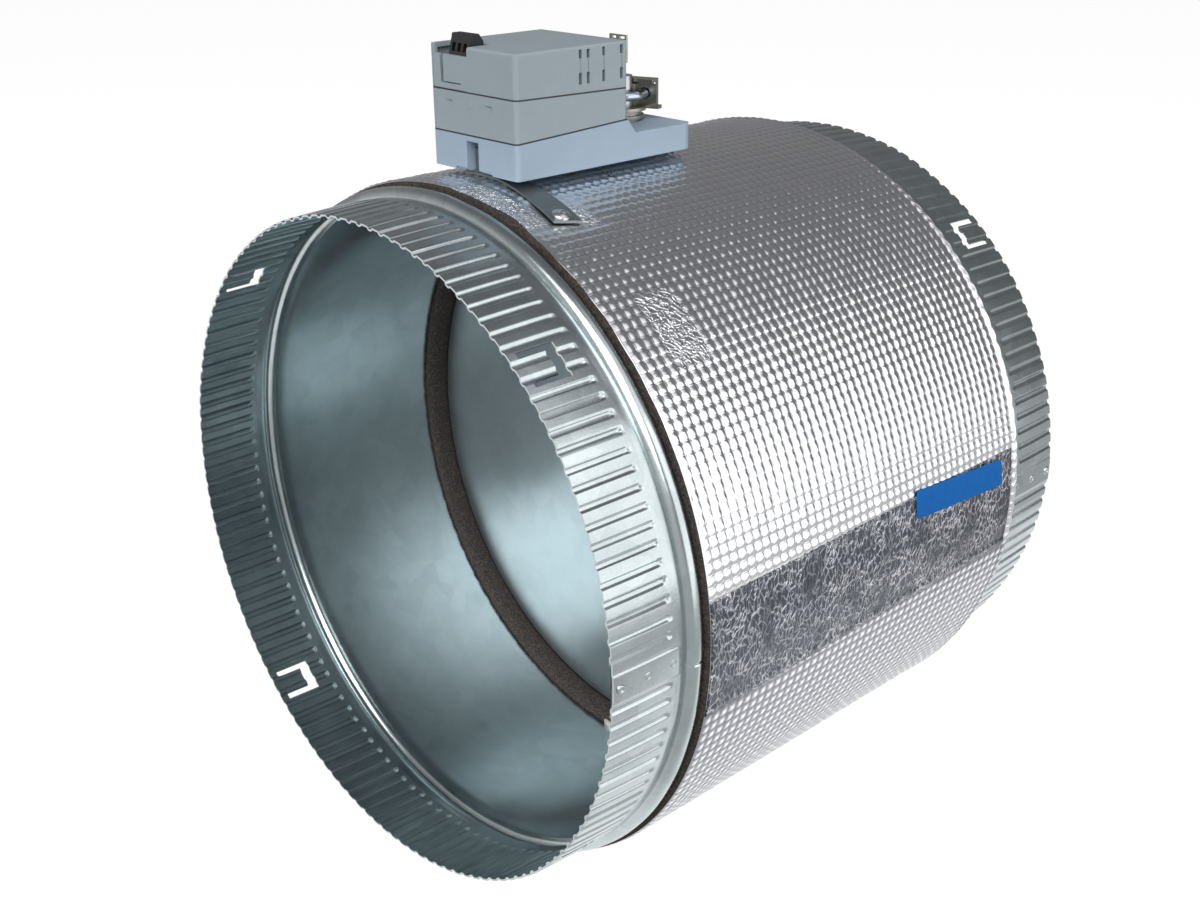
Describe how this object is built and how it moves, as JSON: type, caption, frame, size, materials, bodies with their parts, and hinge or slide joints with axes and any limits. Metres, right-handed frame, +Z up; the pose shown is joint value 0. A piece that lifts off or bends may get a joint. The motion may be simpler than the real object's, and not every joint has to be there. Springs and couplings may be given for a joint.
{
  "type": "motorized duct damper",
  "caption": "Insulated round duct section with crimped spigots, a turning shut-off blade on a through shaft and a direct-coupled electric actuator clamped to the shaft.",
  "frame": {"origin": "on the duct's axis, at the front bead's shoulder, where a mating duct stops", "axes": "+Y along the duct from the actuator's terminal end to the far end, +Z up along the damper's shaft through the actuator, +X to the right seen from the front"},
  "size_m": [0.3648, 0.344, 0.4309],
  "materials": {
    "galvanised_sheet": "satin",
    "foam_blanket": "matte",
    "foil_facing": "gloss",
    "foil_tape": "satin",
    "blue_label": "satin",
    "seal_strip": "matte",
    "bush_plastic": "satin",
    "dark_strap": "satin",
    "screw_steel": "satin",
    "base_plastic": "matte",
    "housing_plastic": "matte",
    "olive_zinc": "satin",
    "terminal_plastic": "satin",
    "board_laminate": "satin",
    "brass": "satin",
    "bright_steel": "satin",
    "shaft_steel": "satin",
    "blade_sheet": "satin",
    "blade_rubber": "matte",
    "rivet_aluminium": "satin",
    "spring_steel": "satin",
    "gear_plastic": "satin",
    "zinc_blue": "satin",
    "jaw_steel": "matte"
  },
  "bodies": {
    "casing": {"duct_casing": "galvanised_sheet", "insulation_foam": "foam_blanket", "foil_facing": "foil_facing", "foil_tape": "foil_tape", "size_label": "blue_label", "wall_gasket": "seal_strip", "shaft_bushes": "bush_plastic", "anti_rotation_strap": "dark_strap", "strap_screw": "screw_steel", "actuator_base": "base_plastic", "actuator_middle_housing": "housing_plastic", "actuator_cover": "housing_plastic", "rear_clip": "olive_zinc", "terminal_block": "terminal_plastic", "terminal_screws": "screw_steel", "circuit_board": "board_laminate", "board_standoffs": "brass", "gear_plate": "bright_steel", "gear_axles": "bright_steel", "motor_body": "bright_steel", "housing_screws": "screw_steel"},
    "blade": {"damper_shaft": "shaft_steel", "blade_front_disc": "blade_sheet", "blade_rear_disc": "blade_sheet", "blade_seal": "blade_rubber", "blade_rivets": "rivet_aluminium", "blade_bolts": "screw_steel", "blade_nuts": "screw_steel", "retaining_clip": "spring_steel", "output_hub": "jaw_steel", "output_gear": "gear_plastic", "clamp_bracket": "olive_zinc", "clamp_ubolt": "zinc_blue", "clamp_jaw": "jaw_steel", "clamp_washers": "zinc_blue", "clamp_nuts": "zinc_blue"},
    "gear_1": {"reduction_gear_1": "gear_plastic"},
    "gear_2": {"reduction_gear_2": "gear_plastic"},
    "motor_rotor": {"motor_pinion": "brass"}
  },
  "joints": [
    {"name": "blade_turn", "type": "hinge", "parent": "casing", "child": "blade", "pos_m": [0, 0.13, 0], "axis": [0, 0, 1], "range_deg": [0, 90]},
    {"name": "gear_1_spin", "type": "hinge", "parent": "casing", "child": "gear_1", "pos_m": [0, 0.1111, 0.19], "axis": [0, 0, 1], "range_deg": [-225, 0]},
    {"name": "gear_2_spin", "type": "hinge", "parent": "casing", "child": "gear_2", "pos_m": [0, 0.0975, 0.19], "axis": [0, 0, 1], "range_deg": [0, 412.5]},
    {"name": "motor_spin", "type": "hinge", "parent": "casing", "child": "motor_rotor", "pos_m": [0, 0.0885, 0.19], "axis": [0, 0, 1], "range_deg": [-825, 0]}
  ],
  "couplings": [
    {"joint": "gear_1_spin", "follows": "blade_turn", "ratio": -2.5},
    {"joint": "gear_2_spin", "follows": "blade_turn", "ratio": 4.5833},
    {"joint": "motor_spin", "follows": "blade_turn", "ratio": -9.1667}
  ]
}
